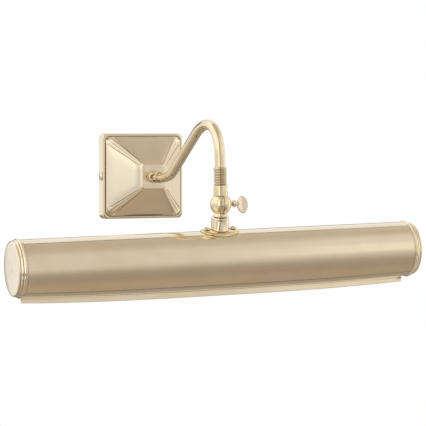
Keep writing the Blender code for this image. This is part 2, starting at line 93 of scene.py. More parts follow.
STEM_HOLE = 5.3               # radius of every hole that a threaded stem passes
SIDE_HOLE = 2.3               # radius of the holes for the side screws
LEAD_RADIUS = 2.4
SADDLE_RISE = 2.3             # height of the saddle plate above the tube
SADDLE_SCREW_X = 16.5
VISIBLE_SHEET = 0.7           # wall of the finished shade tube
SEAM = 0.3                    # half the visible gap between the two halves of the ball

ROUND = 96                    # facets of the shade and the pieces that hug it
FINE = 64                     # facets of small turned pieces

# ------------------------------------------------------- frames of the moving parts, from the joints

HINGE = next(joint for joint in frame["joints"] if joint["name"] == "shade_tilt")
ARM = Matrix.Rotation(-math.atan2(HINGE["axis"][2], HINGE["axis"][0]), 4, "Y")
KNUCKLE = Matrix.Translation(HINGE["pos_m"]) @ ARM
SHADE = KNUCKLE @ Matrix.Rotation(math.radians(SHADE_TILT), 4, "X")
TUBE = SHADE @ Matrix.Translation((0, 0, -KNUCKLE_TO_TUBE * MM))
WALL = Matrix.Identity(4)
KNUCKLE_IN_ARM = ARM.inverted() @ Vector(HINGE["pos_m"]) / MM
BODY_OF = {node: body for body, nodes in frame["record"]["behaviour"]["bodies"].items() for node in nodes}


def at(x=0.0, y=0.0, z=0.0, rx=0.0, ry=0.0, rz=0.0):
    """A place inside a frame: millimetres, then degrees about X, Y and Z."""
    turn = Matrix.Rotation(math.radians(rz), 4, "Z") @ Matrix.Rotation(math.radians(ry), 4, "Y")
    return Matrix.Translation((x * MM, y * MM, z * MM)) @ turn @ Matrix.Rotation(math.radians(rx), 4, "X")


# ---------------------------------------------------------------- shapes

def arc(cx, cy, radius, start, end, steps):
    """Points along an arc about (cx, cy), between two angles in degrees."""
    points = []
    for i in range(steps + 1):
        a = math.radians(start + (end - start) * i / steps)
        points.append(Vector((cx + radius * math.cos(a), cy + radius * math.sin(a))))
    return points


def soften(points, radius, steps=4, closed=False):
    """Rounds the corners of an outline with short curves that start up to radius from each corner."""
    pts = [Vector(p) for p in points]
    rounded = []
    for i, corner in enumerate(pts):
        if not closed and i in (0, len(pts) - 1):
            rounded.append(corner)
            continue
        before = pts[i - 1] - corner
        after = pts[(i + 1) % len(pts)] - corner
        reach = min(radius, before.length * 0.45, after.length * 0.45)
        first = corner + before.normalized() * reach
        last = corner + after.normalized() * reach
        for k in range(steps + 1):
            t = k / steps
            rounded.append(first * (1 - t) ** 2 + corner * 2 * t * (1 - t) + last * t * t)
    return rounded


def skin(rings, closed=False, caps=False):
    """Faces between rings of points that all have the same count."""
    bm = bmesh.new()
    rows = [[bm.verts.new(p) for p in ring] for ring in rings]
    pairs = list(zip(rows, rows[1:]))
    if closed:
        pairs.append((rows[-1], rows[0]))
    for lower, upper in pairs:
        for i in range(len(lower)):
            j = (i + 1) % len(lower)
            bm.faces.new((lower[i], lower[j], upper[j], upper[i]))
    if caps:
        bm.faces.new(rows[0])
        bm.faces.new(rows[-1])
    return bm


def lathe(profile, segments=FINE, closed=False):
    """Turns (radius, height) points about Z."""
    bm = bmesh.new()
    verts = [bm.verts.new((max(r, 0.0), 0.0, h)) for r, h in profile]
    edges = [bm.edges.new(pair) for pair in zip(verts, verts[1:])]
    if closed:
        edges.append(bm.edges.new((verts[-1], verts[0])))
    bmesh.ops.spin(bm, geom=verts + edges, cent=(0, 0, 0), axis=(0, 0, 1), angle=math.tau,
                   steps=segments, use_merge=True)
    bmesh.ops.remove_doubles(bm, verts=bm.verts, dist=1e-4)
    bmesh.ops.recalc_face_normals(bm, faces=bm.faces)
    return bm


def cylinder(radius, start, end, segments=32):
    return lathe([(0, start), (radius, start), (radius, end), (0, end)], segments)


def prism(outline, start, end):
    """Extrudes an outline in XY from Z = start to Z = end."""
    bm = bmesh.new()
    face = bm.faces.new([bm.verts.new((p[0], p[1], start)) for p in outline])
    moved = bmesh.ops.extrude_face_region(bm, geom=[face])["geom"]
    bmesh.ops.translate(bm, vec=(0, 0, end - start),
                        verts=[v for v in moved if isinstance(v, bmesh.types.BMVert)])
    bmesh.ops.recalc_face_normals(bm, faces=bm.faces)
    return bm


def block(low, high):
    outline = [(low[0], low[1]), (high[0], low[1]), (high[0], high[1]), (low[0], high[1])]
    return prism(outline, low[2], high[2])


def bevelled(bm, width, segments=2):
    """Rounds every edge that turns more than 30 degrees."""
    edges = [e for e in bm.edges if len(e.link_faces) == 2 and e.calc_face_angle() > math.radians(30)]
    bmesh.ops.bevel(bm, geom=edges, offset=width, offset_type="OFFSET", segments=segments, profile=0.5,
                    affect="EDGES", clamp_overlap=True)
    return bm


def temporary(bm):
    """A throw-away object that holds the shape, for a modifier to work on."""
    mesh = bpy.data.meshes.new("temporary")
    bm.to_mesh(mesh)
    bm.free()
    obj = bpy.data.objects.new("temporary", mesh)
    bpy.context.scene.collection.objects.link(obj)
    return obj


def evaluated(obj):
    """The object's mesh with its modifiers applied, as a bmesh; the object is removed."""
    bpy.context.view_layer.update()
    graph = bpy.context.evaluated_depsgraph_get()
    result = bmesh.new()
    result.from_mesh(obj.evaluated_get(graph).to_mesh())
    bpy.data.objects.remove(obj, do_unlink=True)
    return result


def carve(bm, cutters, operation="DIFFERENCE"):
    """Cuts, joins or intersects closed shapes given as (shape, place in millimetres)."""
    target = temporary(bm)
    helpers = []
    for shape, place in cutters:
        helper = temporary(shape)
        helper.matrix_world = place
        mod = target.modifiers.new("carve", "BOOLEAN")
        mod.operation = operation
        mod.object = helper
        helpers.append(helper)
    result = evaluated(target)
    for helper in helpers:
        bpy.data.objects.remove(helper, do_unlink=True)
    return result


def thicken(bm, wall):
    """Gives a sheet its wall, inwards; the inner side takes the next material."""
    sheet = temporary(bm)
    for mat_name in ("outer", "inner"):
        sheet.data.materials.append(bpy.data.materials.get(mat_name) or bpy.data.materials.new(mat_name))
    mod = sheet.modifiers.new("wall", "SOLIDIFY")
    mod.thickness = wall
    mod.offset = -1
    mod.use_even_offset = True
    mod.material_offset = 1
    return evaluated(sheet)


def moved(x=0.0, y=0.0, z=0.0, rx=0.0, ry=0.0, rz=0.0):
    """As at(), but in millimetres throughout, for cutters."""
    place = at(x, y, z, rx, ry, rz)
    place.translation /= MM
    return place


def smooth_route(points, per_span):
    """A Catmull-Rom curve through the given points."""
    pts = [Vector(p) for p in points]
    pts = [2 * pts[0] - pts[1]] + pts + [2 * pts[-1] - pts[-2]]
    route = []
    for a, b, c, d in zip(pts, pts[1:], pts[2:], pts[3:]):
        for i in range(per_span):
            t = i / per_span
            route.append(0.5 * (2 * b + (c - a) * t + (2 * a - 5 * b + 4 * c - d) * t ** 2
                                + (3 * b - a - 3 * c + d) * t ** 3))
    return route + [pts[-2]]


def rings_along(route, radius, sides):
    """Round rings square to a route, carried along it without twist."""
    route = [Vector(p) for p in route]
    start = (route[1] - route[0]).normalized()
    side = start.orthogonal().normalized()
    rings = []
    for i, point in enumerate(route):
        tangent = (route[min(i + 1, len(route) - 1)] - route[max(i - 1, 0)]).normalized()
        side = (side - tangent * side.dot(tangent)).normalized()
        up = tangent.cross(side)
        angles = [math.tau * k / sides for k in range(sides)]
        rings.append([point + radius * (side * math.cos(a) + up * math.sin(a)) for a in angles])
    return rings


def add(node, bm, place, mats, name=None, sharp=38, stands_for=True):
    """Finishes a piece: closes its mesh, sets it in its place, and ties it to its CAD node's body."""
    bmesh.ops.remove_doubles(bm, verts=bm.verts, dist=0.002)
    bmesh.ops.recalc_face_normals(bm, faces=bm.faces)
    bmesh.ops.scale(bm, vec=(MM, MM, MM), verts=bm.verts)
    bmesh.ops.transform(bm, matrix=place, verts=bm.verts)
    mesh = bpy.data.meshes.new(name or node + "_finished")
    bm.to_mesh(mesh)
    bm.free()
    mesh.shade_smooth()
    mesh.set_sharp_from_angle(angle=math.radians(sharp))
    obj = bpy.data.objects.new(name or node + "_finished", mesh)
    bpy.context.scene.collection.objects.link(obj)
    mesh.materials.clear()
    for mat in mats:
        mesh.materials.append(mat)
    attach(obj, BODY_OF[node])
    if stands_for:
        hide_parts(node)
    return obj


# ---------------------------------------------------------------- materials

class Nodes:
    """Short-hand for building a node tree."""

    def __init__(self, tree):
        self.tree = tree

    def node(self, kind, **settings):
        made = self.tree.nodes.new(kind)
        for key, value in settings.items():
            setattr(made, key, value)
        return made

    def feed(self, socket, value):
        if isinstance(value, bpy.types.NodeSocket):
            self.tree.links.new(value, socket)
        else:
            socket.default_value = value

    def math(self, operation, *values, clamp=False):
        made = self.node("ShaderNodeMath", operation=operation, use_clamp=clamp)
        for socket, value in zip(made.inputs, values):
            self.feed(socket, value)
        return made.outputs[0]

    def dot(self, vector, direction):
        made = self.node("ShaderNodeVectorMath", operation="DOT_PRODUCT")
        self.feed(made.inputs[0], vector)
        made.inputs[1].default_value = direction
        return made.outputs["Value"]

    def step(self, value, low, high, to_low=0.0, to_high=1.0):
        """Eases from to_low to to_high as the value goes from low to high."""
        made = self.node("ShaderNodeMapRange", interpolation_type="SMOOTHSTEP")
        for socket, given in zip(made.inputs, (value, low, high, to_low, to_high)):
            self.feed(socket, given)
        return made.outputs[0]

    def coords(self, scale):
        where = self.node("ShaderNodeTexCoord").outputs["Object"]
        mapping = self.node("ShaderNodeMapping")
        self.feed(mapping.inputs["Vector"], where)
        mapping.inputs["Scale"].default_value = scale
        return mapping.outputs[0]

    def noise(self, scale, detail=3.0, stretch=(1, 1, 1)):
        made = self.node("ShaderNodeTexNoise")
        self.feed(made.inputs["Vector"], self.coords(stretch))
        made.inputs["Scale"].default_value = scale
        made.inputs["Detail"].default_value = detail
        return made.outputs["Fac"]

    def mix(self, factor, first, second):
        made = self.node("ShaderNodeMix", data_type="RGBA")
        self.feed(made.inputs["Factor"], factor)
        for key, colour in (("A", first), ("B", second)):
            socket = next(s for s in made.inputs if s.name == key and s.type == "RGBA")
            self.feed(socket, colour if isinstance(colour, bpy.types.NodeSocket) else (*colour, 1.0))
        return next(s for s in made.outputs if s.type == "RGBA")

    def bump(self, height, strength, distance):
        made = self.node("ShaderNodeBump")
        made.inputs["Strength"].default_value = strength
        made.inputs["Distance"].default_value = distance
        self.feed(made.inputs["Height"], height)
        return made.outputs[0]


def surface(name):
    mat = bpy.data.materials.new(name)
    mat.use_nodes = True
    shader = mat.node_tree.nodes["Principled BSDF"]
    return mat, Nodes(mat.node_tree), shader.inputs


# Painted shade: usual strength and colour of the darkening that an ambient-occlusion mask paints into brass
# recesses
USUAL_RECESS_SHADE = 0.62
RECESS_SHADE_COLOUR = (0.30, 0.19, 0.08)


def brass(name, light, deep, rough, grain, haze=0.05, recess_shade=USUAL_RECESS_SHADE):
    """Polished, lacquered brass: fine lines, cloudy polish, and painted shade that darkens its recesses."""
    mat, nodes, shader = surface(name)
    cloud = nodes.noise(28.0, 4.0)
    tone = nodes.mix(nodes.step(cloud, 0.35, 0.7), light, deep)
    # Painted shade: where the AO node finds surfaces close by, the base colour darkens towards the recess
    # colour
    shelter = nodes.node("ShaderNodeAmbientOcclusion", samples=4)
    shelter.inputs["Distance"].default_value = 0.0035
    open_from = 0.75 + 0.3 * (recess_shade - USUAL_RECESS_SHADE)
    recess = nodes.step(shelter.outputs["AO"], 0.15, open_from, recess_shade, 0.0)
    nodes.feed(shader["Base Color"], nodes.mix(recess, tone, RECESS_SHADE_COLOUR))
    lines = nodes.noise(1.0, 2.0, grain)
    wiped = nodes.noise(95.0, 5.0)
    worn = nodes.math("ADD", nodes.step(lines, 0.3, 0.75, 0.0, haze),
                      nodes.step(wiped, 0.45, 0.8, 0.0, haze))
    nodes.feed(shader["Roughness"], nodes.math("ADD", worn, rough))
    nodes.feed(shader["Normal"], nodes.bump(lines, 0.05, 0.00005))
    shader["Metallic"].default_value = 1.0
    shader["Coat Weight"].default_value = 0.25
    shader["Coat Roughness"].default_value = 0.04
    return mat


def brushed_inside():
    """The unpolished inner side of rolled or pressed brass sheet."""
    mat, nodes, shader = surface("brass_inner_side")
    lines = nodes.noise(1.0, 4.0, (30, 1500, 1500))
    blotch = nodes.noise(60.0, 5.0)
    nodes.feed(shader["Base Color"], nodes.mix(nodes.step(blotch, 0.35, 0.7), (0.80, 0.66, 0.42),
                                               (0.66, 0.50, 0.28)))
    nodes.feed(shader["Roughness"], nodes.step(lines, 0.2, 0.8, 0.30, 0.48))
    nodes.feed(shader["Normal"], nodes.bump(lines, 0.25, 0.0001))
    shader["Metallic"].default_value = 1.0
    return mat


def zinc_plate():
    """Bright zinc plating with its faint spangle and bluish to yellowish tint."""
    mat, nodes, shader = surface("zinc_plating")
    spangle = nodes.node("ShaderNodeTexVoronoi")
    nodes.feed(spangle.inputs["Vector"], nodes.coords((1, 1, 1)))
    spangle.inputs["Scale"].default_value = 260.0
    grain = nodes.noise(900.0, 3.0)
    nodes.feed(shader["Base Color"], nodes.mix(nodes.noise(45.0, 4.0), (0.62, 0.64, 0.68),
                                               (0.72, 0.69, 0.60)))
    nodes.feed(shader["Roughness"], nodes.step(spangle.outputs["Distance"], 0.0, 0.8, 0.28, 0.42))
    nodes.feed(shader["Normal"], nodes.bump(grain, 0.15, 0.0001))
    shader["Metallic"].default_value = 1.0
    return mat


def nickel():
    mat, nodes, shader = surface("nickel")
    nodes.feed(shader["Base Color"], nodes.mix(nodes.noise(120.0, 3.0), (0.74, 0.71, 0.65),
                                               (0.60, 0.57, 0.50)))
    nodes.feed(shader["Roughness"], nodes.step(nodes.noise(400.0, 4.0), 0.3, 0.7, 0.18, 0.32))
    shader["Metallic"].default_value = 1.0
    return mat


def moulded(name, light, dark, rough, pore, sheen_depth=0.0):
    """Moulded plastic: slightly uneven colour, a fine moulded texture and soft gloss."""
    mat, nodes, shader = surface(name)
    nodes.feed(shader["Base Color"], nodes.mix(nodes.step(nodes.noise(70.0, 5.0), 0.3, 0.7), light, dark))
    texture = nodes.noise(pore, 4.0)
    nodes.feed(shader["Roughness"], nodes.step(texture, 0.3, 0.7, rough - 0.06, rough + 0.08))
    nodes.feed(shader["Normal"], nodes.bump(texture, 0.2, 0.00008))
    shader["Subsurface Weight"].default_value = sheen_depth
    shader["Subsurface Scale"].default_value = 0.001
    return mat


def fibre():
    """Pressed fibre: short matted strands."""
    mat, nodes, shader = surface("pressed_fibre")
    strands = nodes.noise(1.0, 5.0, (900, 2600, 2600))
    nodes.feed(shader["Base Color"], nodes.mix(nodes.step(strands, 0.35, 0.65), (0.20, 0.17, 0.14),
                                               (0.34, 0.30, 0.25)))
    nodes.feed(shader["Normal"], nodes.bump(strands, 0.5, 0.0002))
    shader["Roughness"].default_value = 0.85
    return mat


def clear_glass():
    """Thin blown glass with slight waviness."""
    mat, nodes, shader = surface("blown_glass")
    nodes.feed(shader["Normal"], nodes.bump(nodes.noise(60.0, 2.0), 0.15, 0.0004))
    nodes.feed(shader["Roughness"], nodes.step(nodes.noise(140.0, 3.0), 0.4, 0.8, 0.01, 0.04))
    shader["Base Color"].default_value = (0.97, 0.98, 0.97, 1.0)
    shader["Transmission Weight"].default_value = 1.0
    shader["IOR"].default_value = 1.47
    return mat


def filament_wire():
    mat, nodes, shader = surface("tungsten")
    nodes.feed(shader["Base Color"], nodes.mix(nodes.noise(800.0), (0.22, 0.21, 0.20), (0.34, 0.32, 0.30)))
    shader["Metallic"].default_value = 1.0
    shader["Roughness"].default_value = 0.4
    return mat


PALE_LIGHT, PALE_DEEP = (0.90, 0.785, 0.60), (0.87, 0.745, 0.545)
GOLD_LIGHT, GOLD_DEEP = (0.90, 0.765, 0.53), (0.86, 0.70, 0.44)
SADDLE_LIGHT, SADDLE_DEEP = (0.90, 0.745, 0.45), (0.86, 0.68, 0.36)
RIB_LIGHT, RIB_DEEP = (0.80, 0.67, 0.49), (0.68, 0.54, 0.36)
THUMB_DEEP = (0.89, 0.77, 0.60)
DRAWN = (40, 2400, 2400)      # grain of lines along X
TURNED_X = (3200, 300, 300)   # grain of rings about each axis
TURNED_Y = (300, 3200, 300)
TURNED_Z = (300, 300, 3200)

ROLLED_BRASS = brass("rolled_brass", PALE_LIGHT, PALE_DEEP, 0.11, DRAWN)
CAP_BRASS = brass("spun_brass", PALE_LIGHT, PALE_DEEP, 0.07, TURNED_X)
SLEEVE_BRASS = brass("sleeve_brass", PALE_LIGHT, PALE_DEEP, 0.07, TURNED_Z)
SADDLE_BRASS = brass("saddle_brass", SADDLE_LIGHT, SADDLE_DEEP, 0.09, (900, 900, 900))
PLATE_BRASS = brass("pressed_brass", PALE_LIGHT, PALE_DEEP, 0.06, (500, 500, 500), haze=0.03)
TURNED_BRASS = brass("turned_brass", GOLD_LIGHT, GOLD_DEEP, 0.06, TURNED_Z)
ROOT_BRASS = brass("root_collar_brass", GOLD_LIGHT, GOLD_DEEP, 0.06, TURNED_Y)
# The ribbed collar and the thumb screw get stronger painted shade in their recesses
RIBBED_BRASS = brass("ribbed_brass", RIB_LIGHT, RIB_DEEP, 0.06, TURNED_Z, recess_shade=0.95)
THUMB_BRASS = brass("thumb_brass", PALE_LIGHT, THUMB_DEEP, 0.08, TURNED_X, recess_shade=0.9)
SCREW_BRASS = brass("screw_brass", GOLD_LIGHT, GOLD_DEEP, 0.07, TURNED_X)
ARM_BRASS = brass("drawn_brass", GOLD_LIGHT, GOLD_DEEP, 0.06, (900, 60, 900), haze=0.03)
INNER_BRASS = brushed_inside()
STEEL = zinc_plate()
NICKEL = nickel()
NYLON = moulded("white_nylon_moulding", (0.86, 0.86, 0.82), (0.80, 0.80, 0.75), 0.42, 1500.0, 0.15)
PHENOLIC = moulded("black_phenolic_moulding", (0.022, 0.020, 0.019), (0.045, 0.038, 0.032), 0.26, 2200.0)
FIBRE = fibre()
GLASS = clear_glass()
WIRE = filament_wire()
SHEATH = moulded("lead_sheathing", (0.84, 0.83, 0.78), (0.78, 0.76, 0.70), 0.40, 1800.0, 0.1)


# ---------------------------------------------------------------- small fixings

def hexagon(across_flats):
    corner = across_flats / math.sqrt(3)
    return [(corner * math.cos(math.tau * i / 6), corner * math.sin(math.tau * i / 6)) for i in range(6)]


def nut(across_flats, bore, height):
    """A hexagon nut with chamfered corners and a countersunk bore."""
    flat = across_flats / 2
    corner = across_flats / math.sqrt(3)
    trim = (corner - flat) * 0.6
    barrel = lathe([(0, 0), (flat, 0), (corner, trim), (corner, height - trim), (flat, height),
                    (0, height)], 48)
    bore_tool = lathe([(0, -1), (bore + 1.6, -1), (bore, 0.6), (bore, height - 0.6),
                       (bore + 1.6, height + 1), (0, height + 1)], 32)
    shape = carve(prism(hexagon(across_flats), 0, height), [(barrel, moved())], "INTERSECT")
    return carve(shape, [(bore_tool, moved())])


def screw(head, height, shank, length, slot):
    """A round-head slotted screw: head towards +Z from Z = 0, threaded shank below."""
    dome = arc(0, 0, 1, 6, 90, 10)
    crown = [(head * p.x, height * p.y) for p in dome]
    profile = [(0, -length), (shank * 0.75, -length), (shank, 0.6 - length), (shank, 0), (head - 0.25, 0),
               (head, 0.25)]
    body = lathe(profile + crown, 40)
    groove = block((-2 * head, -slot / 2, height * 0.5), (2 * head, slot / 2, height * 3))
    return carve(body, [(groove, moved())])


# ---------------------------------------------------------------- canopy

FACE_OUT, FACE_FORWARD = 0.756, 0.655      # which way the canopy's sloping faces crown
RIDGE_IN, RIDGE_BACK = 0.447, 0.775        # which way the grooves beside its ridges sink


def plate_ring(half, corner, depth, bulge=1.0, pillow=0.0, groove=0.0):
    """A square ring at Y = -depth: crowned faces, and corners from cut straight (bulge 0) to round (1)."""
    points = []
    across, around = 22, 16
    for quarter in range(4):
        turn = Matrix.Rotation(quarter * math.pi / 2, 2)
        for i in range(across):
            u = 2 * i / across - 1
            lift = pillow * (1 - abs(u) ** 5)
            x, z = turn @ Vector((half + FACE_OUT * lift, u * (half - corner)))
            points.append(Vector((x, -depth - FACE_FORWARD * lift, z)))
        for i in range(around):
            t = i / around
            a = t * math.pi / 2
            straight = Vector((half - corner * t, half - corner * (1 - t)))
            curved = Vector((half - corner + corner * math.cos(a), half - corner + corner * math.sin(a)))
            edge = abs(2 * t - 1)
            sink = groove * math.exp(-((edge - 0.86) / 0.085) ** 2)
            sink += groove * 0.35 * math.exp(-(edge / 0.12) ** 2)
            spot = straight.lerp(curved, bulge) - Vector((RIDGE_IN, RIDGE_IN)) * sink
            x, z = turn @ spot
            points.append(Vector((x, -depth + RIDGE_BACK * sink, z)))
    return points


def plate_rings():
    """Skirt, rolled rim, bead, then the crowned pyramid up to the flat."""
    edge = PLATE_HALF
    rings = [plate_ring(edge, PLATE_CORNER, 0), plate_ring(edge, PLATE_CORNER, SKIRT_DEPTH - 2.2)]
    for p in arc(edge - 1.6, SKIRT_DEPTH - 1.6, 1.6, 15, 90, 5):
        rings.append(plate_ring(p.x, PLATE_CORNER, p.y))
    rim = soften([(edge - 2.2, SKIRT_DEPTH), (edge - 3.0, SKIRT_DEPTH - 0.1),
                  (edge - 3.2, SKIRT_DEPTH - 2.0), (edge - 3.9, SKIRT_DEPTH - 2.0),
                  (edge - 4.0, SKIRT_DEPTH + 0.6)], 0.35, 3)
    rings += [plate_ring(p.x, PLATE_CORNER + 0.8, p.y, 0.9) for p in rim]
    foot, top = edge - 4.0, FLAT_HALF + 1.2
    low, high = SKIRT_DEPTH + 1.6, PLATE_DEPTH - 1.2
    steps = 20
    for i in range(steps + 1):
        s = i / steps
        half = foot + (top - foot) * s
        corner = 9.0 + (3.0 - 9.0) * s
        fade = min(1.0, 12 * s, 12 * (1 - s))
        crown = 1.1 * (1 - abs(2 * s - 1) ** 5)
        rings.append(plate_ring(half, corner, low + (high - low) * s, 0.45, crown,
                                1.15 * fade * (1 - 0.4 * s)))
    for p in arc(FLAT_HALF - 0.2, PLATE_DEPTH - 1.4, 1.4, 35, 90, 4):
        rings.append(plate_ring(p.x, 3.0, p.y, 0.4))
    return rings


def backplate():
    bm = skin(plate_rings())
    rim = [v for v in bm.verts if v.co.y < -PLATE_DEPTH + 1e-4]
    bmesh.ops.contextual_create(bm, geom=rim)
    bmesh.ops.recalc_face_normals(bm, faces=bm.faces)
    flat = max(bm.faces, key=lambda f: len(f.verts))
    if flat.normal.y > 0:
        bmesh.ops.reverse_faces(bm, faces=bm.faces)
    wall = thicken(bm, PLATE_WALL)
    holes = [(cylinder(STEM_HOLE, -10, 10, 48), moved(y=-PLATE_DEPTH, rx=90))]
    for side in (-1, 1):
        holes.append((cylinder(SIDE_HOLE, -5, 5), moved(side * PLATE_HALF, SIDE_SCREW_Y, 0, ry=90)))
    add("backplate", carve(wall, holes), WALL, [PLATE_BRASS, INNER_BRASS], sharp=30)


def wall_bracket():
    """A bent strap with two fixing slots, tapped holes and ears for the side screws."""
    outer, inner, ear = BRACKET_HALF, BRACKET_HALF - SHEET, -13.5
    strip = [(-outer, 0), (-outer, ear), (-inner, ear), (-inner, -SHEET), (inner, -SHEET), (inner, ear),
             (outer, ear), (outer, 0)]
    strap = prism(soften(strip, 1.6, 3, closed=True), -10, 10)
    tools = []
    for x in (-36, 36):
        slot = [Vector(p) for p in arc(3.5, 0, 2.5, -90, 90, 10) + arc(-3.5, 0, 2.5, 90, 270, 10)]
        tools.append((prism(slot, -5, 5), moved(x=x, rx=90)))
    for x, radius in ((BLOCK_X - 4.5, 1.8), (EARTH_X, 2.1)):
        tools.append((cylinder(radius, -5, 5), moved(x=x, rx=90)))
    for side in (-1, 1):
        tools.append((cylinder(SIDE_HOLE, -5, 5), moved(side * outer, SIDE_SCREW_Y, 0, ry=90)))
    add("wall_bracket", bevelled(carve(strap, tools), 0.2, 1), WALL, [STEEL])


def terminal_block():
    """Three barrels side by side, scalloped between, with screw wells."""
    front = SHEET + GAP + BLOCK_DEPTH
    outline = []
    for side in (1, -1):
        for i in range(3):
            x = (i - 1) * BARREL_PITCH * -side
            outline += [(x + side * 4.3, side * 5.2), (x + side * 3.6, side * 7), (x - side * 3.6, side * 7),
                        (x - side * 4.3, side * 5.2)]
    body = bevelled(prism(soften(outline, 0.8, 3, closed=True), SHEET + GAP, front), 0.4, 2)
    wells = [(cylinder(2.3, front - 5, front + 5), moved(x=(i - 1) * BARREL_PITCH)) for i in range(3)]
    wells += [(cylinder(1.8, 0, front + 5), moved(x=-4.5))]
    for i in range(3):
        wells.append((cylinder(2.0, -10, 10), moved(x=(i - 1) * BARREL_PITCH, z=front - 8, rx=90)))
    add("terminal_block", carve(body, wells), at(x=BLOCK_X, rx=90), [NYLON])


def canopy_fittings():
    add("side_screw_left", screw(5.4, 2.7, 2.0, 7.0, 1.2), at(-PLATE_HALF - GAP, SIDE_SCREW_Y, 0, ry=-90),
        [SCREW_BRASS])
    slotted = carve(cylinder(2.0, -7.0, 0.0), [(block((-5, -0.4, -1.2), (5, 0.4, 5)), moved())])
    add("side_screw_right", bevelled(slotted, 0.15, 1), at(PLATE_HALF, SIDE_SCREW_Y, 0, ry=90),
        [SCREW_BRASS])
    add("earth_screw", screw(3.6, 2.4, 1.7, SHEET, 0.9), at(EARTH_X, -SHEET - GAP, 0, rx=90),
        [TURNED_BRASS])
    well = SHEET + GAP + BLOCK_DEPTH - 3.6
    for i in range(3):
        add(f"terminal_screw_{i + 1}", screw(1.9, 1.2, 1.5, 2.0, 0.5),
            at(BLOCK_X + BARREL_PITCH * (i - 1), -well, 0, rx=90), [TURNED_BRASS])
    add("terminal_fixing_screw", screw(2.6, 1.6, 1.4, 13.5, 0.7),
        at(BLOCK_X - 4.5, -SHEET - BLOCK_DEPTH - 2 * GAP, 0, rx=90), [STEEL])


def lead(node, route, radius):
    add(node, skin(rings_along(route, radius, 20), caps=True), WALL, [SHEATH])


def canopy_lead():
    start = Vector((BLOCK_X, -9.0, 7.0 + GAP))
    end = Vector((0, 11.8 - PLATE_DEPTH, 0))
    route = smooth_route([start, start + Vector((0, -0.5, 7)), Vector((-10, -22, 17)), Vector((-2, -36, 7)),
                          end + Vector((0, 6, 0.6)), end], 10)
    lead("canopy_lead", route, LEAD_RADIUS)


# ---------------------------------------------------------------- arm

def arm_route(start, end_above_knuckle, steps):
    """Centreline in the plane X = 0: out, up the slope, over the crest, and down to the knuckle."""
    slope = math.radians(ARM_SLOPE)
    reach, knuckle_z = KNUCKLE_IN_ARM.y, KNUCKLE_IN_ARM.z
    crest_y = reach + DROP_BEND
    top_y = crest_y + CREST_BEND * math.sin(slope)
    top_z = ARM_TOP - CREST_BEND * (1 - math.cos(slope))
    foot_y = top_y + top_z / math.tan(slope)
    bend_y = foot_y + ROOT_BEND * math.tan(slope / 2)
    route = [Vector((start, 0))]
    route += arc(bend_y, ROOT_BEND, ROOT_BEND, 270, 270 - ARM_SLOPE, steps)
    route += arc(crest_y, ARM_TOP - CREST_BEND, CREST_BEND, 90 - ARM_SLOPE, 90, steps)
    route += arc(crest_y, ARM_TOP - DROP_BEND, DROP_BEND, 90, 180, 2 * steps)[1:]
    route.append(Vector((reach, knuckle_z + end_above_knuckle)))
    return [(0.0, p.x, p.y) for p in route]


def arm_pieces():
    depth = ROOT_LENGTH - GAP
    spigot = ROOT_SPIGOT + GAP
    ring = [(5.0, 0), (7.3, 0), (7.9, 0.8), (8.0, 1.9), (7.8, 3.1), (7.0, 3.8), (6.9, 4.4), (7.2, 5.0),
            (7.2, depth - 0.8), (6.7, depth), (ARM_RADIUS + GAP, depth), (ARM_RADIUS + GAP, 11), (3.2, 10),
            (3.2, -spigot), (5.0, -spigot)]
    collar = lathe(soften(ring, 0.35, 3, closed=True), closed=True)
    add("arm_root_collar", collar, ARM @ at(y=-PLATE_DEPTH - GAP, rx=90), [ROOT_BRASS])
    inside = -PLATE_DEPTH + PLATE_WALL + GAP
    washer_ring = [(STEM_HOLE, 0), (9.5, 0), (9.5, 1), (STEM_HOLE, 1)]
    washer = lathe(soften(washer_ring, 0.25, 2, closed=True), 48, closed=True)
    add("arm_washer", washer, ARM @ at(y=inside, rx=-90), [STEEL])
    add("arm_locknut", nut(17, STEM_HOLE, 3.5), ARM @ at(y=inside + 1 + GAP, rx=-90), [STEEL])

    route = arm_route(-PLATE_DEPTH - 12, 16.2, 22)
    rings = rings_along(route, ARM_RADIUS, 48) + rings_along(route, ARM_RADIUS - 1, 48)[::-1]
    add("arm_tube", skin(rings, closed=True), ARM, [ARM_BRASS], sharp=50)
    inner = skin(rings_along(arm_route(11.5 - PLATE_DEPTH, 17, 10), LEAD_RADIUS, 20), caps=True)
    add("arm_lead", inner, ARM, [SHEATH])


def ribbed_collar():
    """Seven turned ribs with sharp valleys."""
    low, ribs, pitch = 22.5, 7, 3.0
    profile = [Vector((ARM_RADIUS + GAP, low))]
    for i in range(ribs):
        base = low + i * pitch
        profile += [Vector((6.55, base + 0.25))]
        profile += [Vector((6.55 + 1.3 * math.sin(math.pi * k / 10) ** 0.6,
                            base + 0.25 + (pitch - 0.5) * k / 10))
                    for k in range(1, 10)]
        profile += [Vector((6.55, base + pitch - 0.25))]
    profile += [Vector((ARM_RADIUS + GAP, low + ribs * pitch))]
    add("ribbed_collar", lathe(profile, closed=True), KNUCKLE, [RIBBED_BRASS], sharp=30)


def half_ball(radius, face):
    """The part of a ball beyond Z = face."""
    start = math.degrees(math.asin(face / radius))
    return lathe([(0, face)] + [tuple(p) for p in arc(0, 0, radius, start, 90, 24)], FINE)


def knuckle_half(node, stem, side, place):
    """A turned stem with its half of the ball, hollowed for the other half."""
    shape = carve(lathe(stem, closed=True), [(half_ball(BALL_RADIUS + 0.5, -SEAM), moved(ry=-90 * side))])
    shape = carve(shape, [(half_ball(BALL_RADIUS, SEAM), moved(ry=90 * side))], "UNION")
    low, high = (-9, 20) if side > 0 else (-9, 9)
    shape = carve(shape, [(cylinder(2.3, low, high), moved(ry=90))])
    add(node, shape, place, [TURNED_BRASS], sharp=30)


